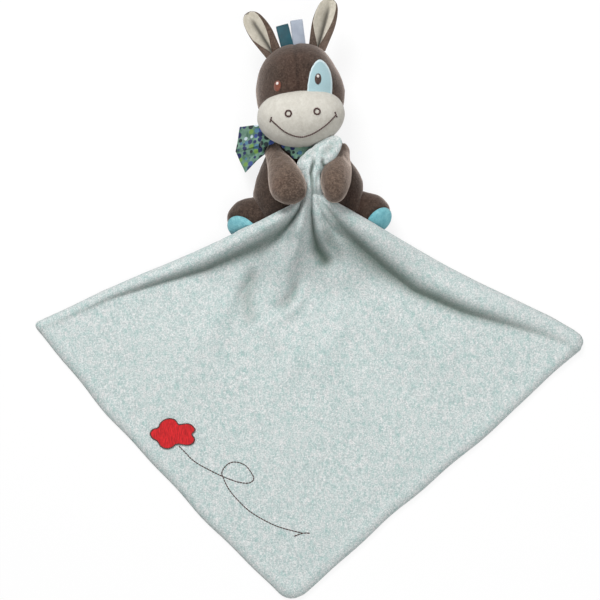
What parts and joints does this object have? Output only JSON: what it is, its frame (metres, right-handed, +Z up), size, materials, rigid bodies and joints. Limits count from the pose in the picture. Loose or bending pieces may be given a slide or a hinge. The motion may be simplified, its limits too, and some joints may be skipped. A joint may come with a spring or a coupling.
{
  "type": "comfort blanket lovey",
  "caption": "Stuffed donkey lying on its back, holding the gathered corner of a square fleece comfort blanket in its paws.",
  "frame": {"origin": "on the surface that the toy lies on, under the middle of its back", "axes": "+Y from the blanket towards the head, +Z up, away from the surface, +X towards the toy's own left"},
  "size_m": [0.4833, 0.5166, 0.0794],
  "materials": {
    "brown_velour": "short velour pile, matt, lighter along the edges",
    "cream_velour": "short velour pile, matt",
    "patch_fabric": "smooth knit, matt",
    "dark_thread": "embroidery thread, slight sheen",
    "rust_thread": "embroidery thread, slight sheen",
    "sole_fabric": "short velour pile, matt",
    "teal_ribbon": "satin weave with a soft sheen",
    "lilac_ribbon": "satin weave with a soft sheen",
    "printed_cotton": "plain weave with a multicoloured dot print",
    "heather_fleece": "short brushed pile, flecked mint and grey",
    "red_felt": "matt felt",
    "filling": "loose polyester fibre, matt"
  },
  "bodies": {
    "body": {"torso_skin": "brown_velour", "torso_filling": "filling", "scarf_band": "printed_cotton", "scarf_knot": "printed_cotton", "blanket_front": "heather_fleece", "blanket_back": "heather_fleece", "flower_patch": "red_felt"},
    "head": {"head_skin": "brown_velour", "muzzle_left_panel": "cream_velour", "muzzle_right_panel": "cream_velour", "head_filling": "filling", "eye_patch": "patch_fabric", "right_eye": "rust_thread", "left_eye": "dark_thread", "right_nostril": "dark_thread", "left_nostril": "dark_thread", "smile": "dark_thread", "teal_ribbon_loop": "teal_ribbon", "lilac_ribbon_loop": "lilac_ribbon"},
    "right_ear": {"right_ear_outer": "brown_velour", "right_ear_lining": "cream_velour"},
    "left_ear": {"left_ear_outer": "brown_velour", "left_ear_lining": "cream_velour"},
    "right_arm": {"right_arm_skin": "brown_velour", "right_arm_filling": "filling"},
    "left_arm": {"left_arm_skin": "brown_velour", "left_arm_filling": "filling"},
    "right_leg": {"right_leg_skin": "brown_velour", "right_leg_filling": "filling", "right_sole": "sole_fabric"},
    "left_leg": {"left_leg_skin": "brown_velour", "left_leg_filling": "filling", "left_sole": "sole_fabric"},
    "upper_tail": {"scarf_upper_tail": "printed_cotton"},
    "lower_tail": {"scarf_lower_tail": "printed_cotton"}
  },
  "joints": [
    {"name": "head_tip", "type": "hinge", "parent": "body", "child": "head", "pos_m": [-0.004, 0.037, 0.025], "axis": [-1, 0, 0], "range_deg": [0, 10], "stiffness_Nm_per_rad": 0.3},
    {"name": "right_ear_bend", "type": "hinge", "parent": "head", "child": "right_ear", "pos_m": [-0.0315, 0.1095, 0.035], "axis": [0.8554, 0.518, 0], "range_deg": [-25, 25], "stiffness_Nm_per_rad": 0.06},
    {"name": "left_ear_bend", "type": "hinge", "parent": "head", "child": "left_ear", "pos_m": [0.0075, 0.114, 0.035], "axis": [0.9611, -0.2762, 0], "range_deg": [-25, 25], "stiffness_Nm_per_rad": 0.06},
    {"name": "right_arm_swing", "type": "hinge", "parent": "body", "child": "right_arm", "pos_m": [-0.0285, 0.0225, 0.034], "axis": [0, 0, -1], "range_deg": [0, 40], "stiffness_Nm_per_rad": 0.04},
    {"name": "left_arm_swing", "type": "hinge", "parent": "body", "child": "left_arm", "pos_m": [0.031, 0.0235, 0.034], "axis": [0, 0, 1], "range_deg": [0, 40], "stiffness_Nm_per_rad": 0.04},
    {"name": "right_leg_swing", "type": "hinge", "parent": "body", "child": "right_leg", "pos_m": [-0.035, -0.0225, 0.0185], "axis": [0, 0, -1], "range_deg": [0, 10], "stiffness_Nm_per_rad": 0.06},
    {"name": "left_leg_swing", "type": "hinge", "parent": "body", "child": "left_leg", "pos_m": [0.0365, -0.018, 0.0185], "axis": [0, 0, 1], "range_deg": [0, 10], "stiffness_Nm_per_rad": 0.06},
    {"name": "upper_tail_flap", "type": "hinge", "parent": "body", "child": "upper_tail", "pos_m": [-0.042, 0.0282, 0.034], "axis": [0, 1, 0], "range_deg": [0, 60]},
    {"name": "lower_tail_flap", "type": "hinge", "parent": "body", "child": "lower_tail", "pos_m": [-0.042, 0.0282, 0.034], "axis": [0, 1, 0], "range_deg": [0, 60]}
  ]
}
